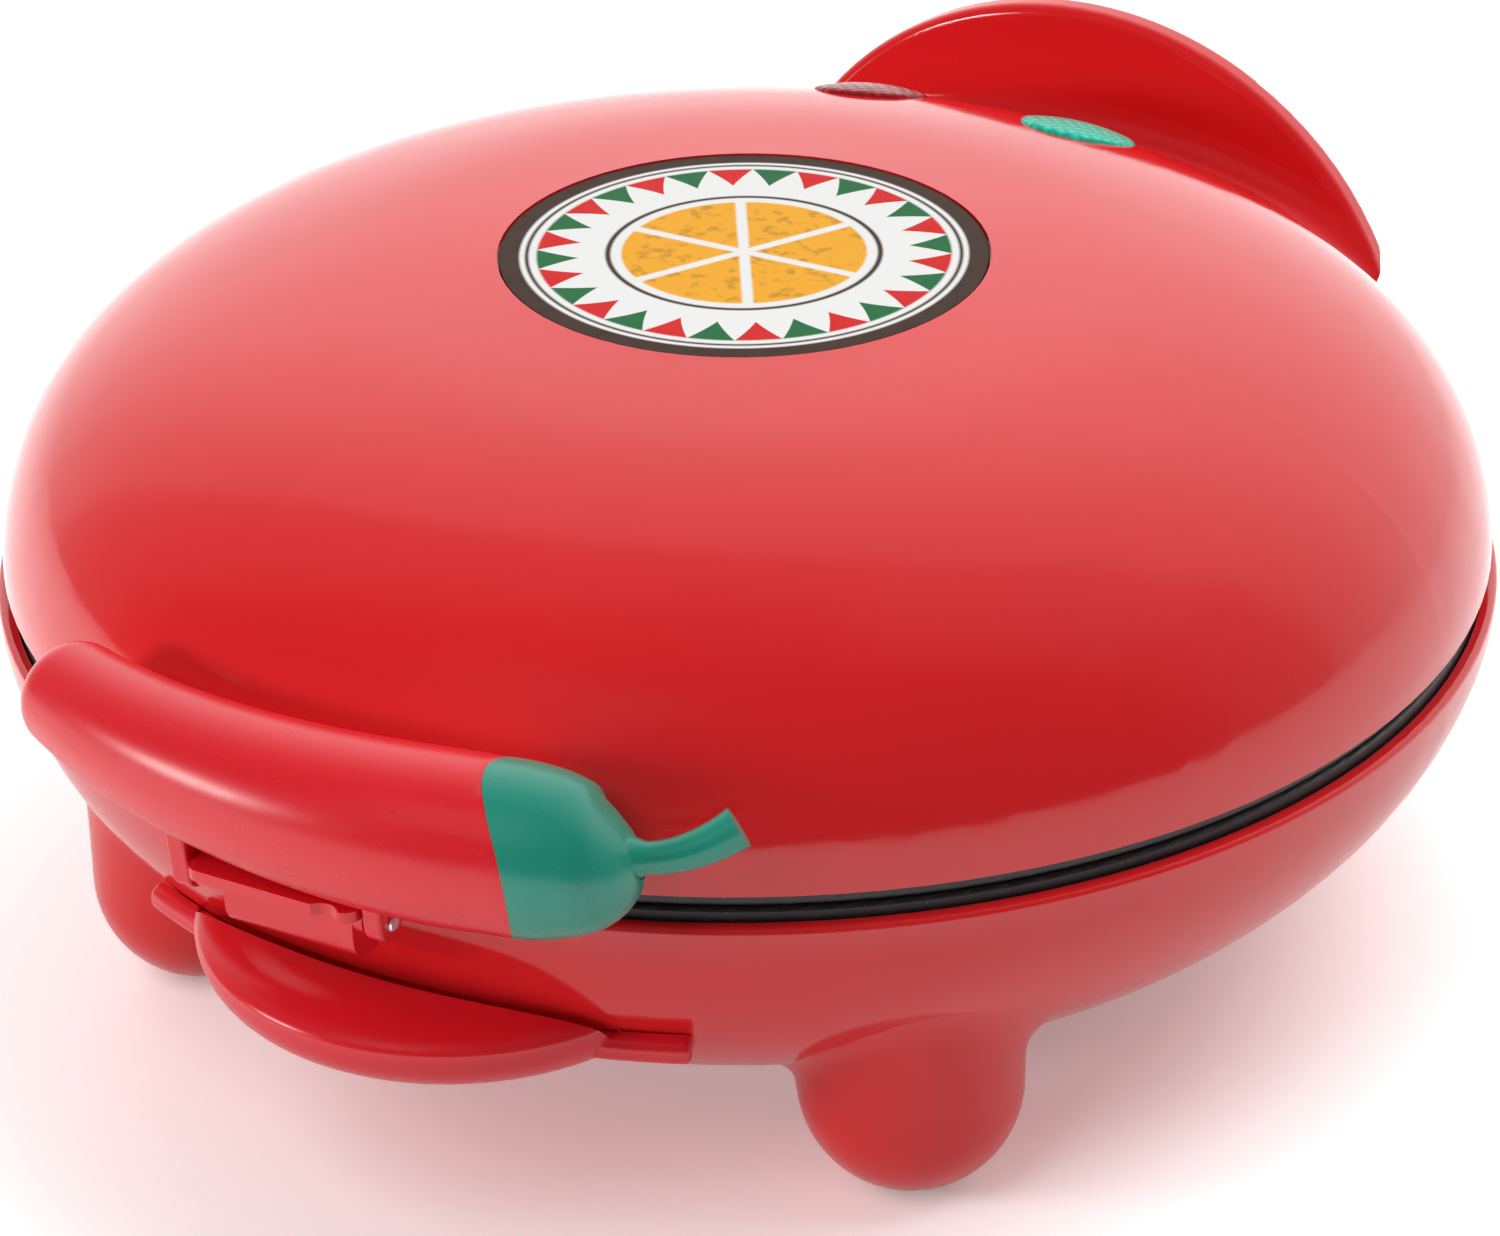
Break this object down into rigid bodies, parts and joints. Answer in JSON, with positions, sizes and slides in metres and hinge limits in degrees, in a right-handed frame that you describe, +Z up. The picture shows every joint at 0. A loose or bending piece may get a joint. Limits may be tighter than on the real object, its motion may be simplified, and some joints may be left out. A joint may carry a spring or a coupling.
{
  "type": "countertop quesadilla maker",
  "caption": "Round hinged-lid cooker with two ribbed wedge plates, a pepper-shaped handle with a swing latch, a pull-off drip tray, stub legs and a rear fin.",
  "frame": {"origin": "on the surface it stands on, under the middle of its overall length and width", "axes": "+Z up, -Y towards the front with the handle and drip tray, +X towards the cord inlet's side"},
  "size_m": [0.2928, 0.3324, 0.1355],
  "materials": {
    "red_shell": "glossy bright red moulded plastic",
    "red_trim": "glossy red moulded plastic, a little brighter",
    "green_cap": "glossy dark green moulded plastic",
    "plate_coating": "matt black non-stick coating on die-cast metal",
    "heater_sheath": "steel sheath, slightly discoloured",
    "shield_steel": "plain rolled steel sheet",
    "fastener_steel": "zinc-plated steel",
    "control_body": "white ceramic",
    "fuse_case": "bare metal case",
    "rubber": "soft black rubber",
    "badge": null,
    "red_lens": "tinted red plastic with a fine prism pattern",
    "green_lens": "tinted green plastic with a fine prism pattern",
    "socket_plastic": "white heat-resistant plastic",
    "lamp_glass": "small clear glass envelope"
  },
  "bodies": {
    "base": {"base_shell": "red_shell", "lower_plate": "plate_coating", "lower_heater": "heater_sheath", "lower_heat_shield": "shield_steel", "lower_plate_screws": "fastener_steel", "thermostat": "control_body", "thermostat_bracket": "shield_steel", "thermal_fuse": "fuse_case", "fuse_clip": "shield_steel", "terminal_block": "control_body", "foot_pads": "rubber", "hinge_pins": "fastener_steel", "cord_inlet": "rubber"},
    "drip_tray": {"drip_tray": "red_trim"},
    "lid": {"lid_shell": "red_shell", "upper_plate": "plate_coating", "upper_heater": "heater_sheath", "upper_heat_shield": "shield_steel", "upper_plate_screws": "fastener_steel", "badge_disc": "badge", "power_lens": "red_lens", "ready_lens": "green_lens", "lamp_sockets": "socket_plastic", "indicator_lamps": "lamp_glass", "handle_body": "red_trim", "handle_cap": "green_cap", "handle_screws": "fastener_steel", "latch_pin": "fastener_steel"},
    "latch": {"latch": "red_trim"}
  },
  "joints": [
    {"name": "lid", "type": "hinge", "parent": "base", "child": "lid", "pos_m": [0, 0.15617, 0.078], "axis": [-1, 0, 0], "range_deg": [0, 95]},
    {"name": "latch", "type": "hinge", "parent": "lid", "child": "latch", "pos_m": [0, -0.14933, 0.076], "axis": [-1, 0, 0], "range_deg": [0, 30]},
    {"name": "drip_tray", "type": "slide", "parent": "base", "child": "drip_tray", "axis": [0, -1, 0], "range_m": [0, 0.04]}
  ]
}
